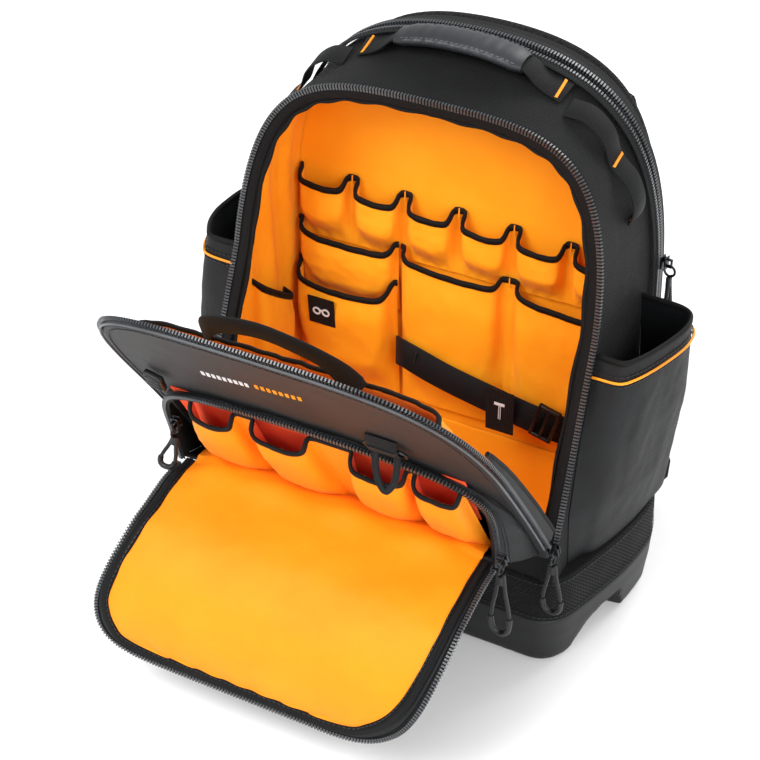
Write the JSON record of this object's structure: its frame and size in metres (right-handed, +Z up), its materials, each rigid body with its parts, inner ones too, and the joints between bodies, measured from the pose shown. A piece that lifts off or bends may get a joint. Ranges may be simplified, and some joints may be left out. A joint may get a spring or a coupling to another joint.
{
  "type": "tool backpack",
  "caption": "Tool backpack on a moulded base, open at the front, with a leaning pocket door, a hanging flap, an orange pocketed lining and side pockets.",
  "frame": {"origin": "centre of the flat underside of the moulded base, on the floor", "axes": "+Z up, -Y towards the front with the door, +X to the right of someone facing the front"},
  "size_m": [0.4523, 0.4901, 0.4936],
  "materials": {
    "moulded_base": "fine moulded grain",
    "black_canvas": "dense woven polyester",
    "coarse_canvas": "coarse ballistic weave",
    "smooth_black_cloth": "smooth coated cloth",
    "orange_lining": "coated nylon lining",
    "black_webbing": "woven webbing",
    "zip_coil": "coil zip with tape",
    "padded_back": "padded air mesh",
    "grip_rubber": "soft moulded grip",
    "dark_metal": "black nickel",
    "black_buckle": "moulded nylon",
    "pull_cord": "moulded cord",
    "reflective_orange": "piping"
  },
  "bodies": {
    "root": {"main_shell": "black_canvas", "lining": "orange_lining", "back_wall": "orange_lining", "rear_shell": "black_canvas", "back_panel": "padded_back", "main_zip": "zip_coil", "rear_zip_front": "zip_coil", "rear_zip_rear": "zip_coil", "base_tray": "moulded_base", "floor_tub": "orange_lining", "base_band": "coarse_canvas", "side_pocket_right": "smooth_black_cloth", "side_pocket_left": "smooth_black_cloth", "side_pocket_piping_right": "reflective_orange", "side_pocket_piping_left": "reflective_orange", "door_panel": "smooth_black_cloth", "door_lining": "orange_lining", "door_zip": "zip_coil", "door_lip_right": "smooth_black_cloth", "door_lip_left": "smooth_black_cloth", "front_pocket": "smooth_black_cloth", "front_pocket_zip": "zip_coil", "front_organiser": "orange_lining", "pocket_flap": "smooth_black_cloth", "flap_lining": "orange_lining", "flap_zip": "zip_coil", "small_pocket_row": "orange_lining", "wide_pockets": "orange_lining", "upper_left_pocket": "orange_lining", "lower_left_pocket": "orange_lining", "inner_side_pocket_right": "orange_lining", "inner_side_pocket_left": "orange_lining", "tool_strap": "black_webbing", "strap_slide": "black_buckle", "glasses_tab": "black_webbing", "hammer_tab": "black_webbing", "handle_webbing": "black_webbing", "handle_grip": "grip_rubber", "gear_loop_right": "black_webbing", "gear_loop_left": "black_webbing", "shoulder_strap_right": "padded_back", "shoulder_strap_left": "padded_back", "lower_webbing_right": "black_webbing", "lower_webbing_left": "black_webbing", "main_zip_right_slider": "dark_metal", "main_zip_right_pull": "pull_cord", "main_zip_left_slider": "dark_metal", "main_zip_left_pull": "pull_cord", "flap_zip_right_slider": "dark_metal", "flap_zip_right_pull": "pull_cord", "flap_zip_left_slider": "dark_metal", "flap_zip_left_pull": "pull_cord", "rear_zip_slider": "dark_metal", "rear_zip_pull": "pull_cord", "web_ring": "dark_metal", "ring_tab": "black_webbing", "ring_loop": "black_webbing", "side_buckle": "black_buckle", "door_inner_pocket": "orange_lining", "door_handle": "black_webbing"}
  },
  "joints": []
}
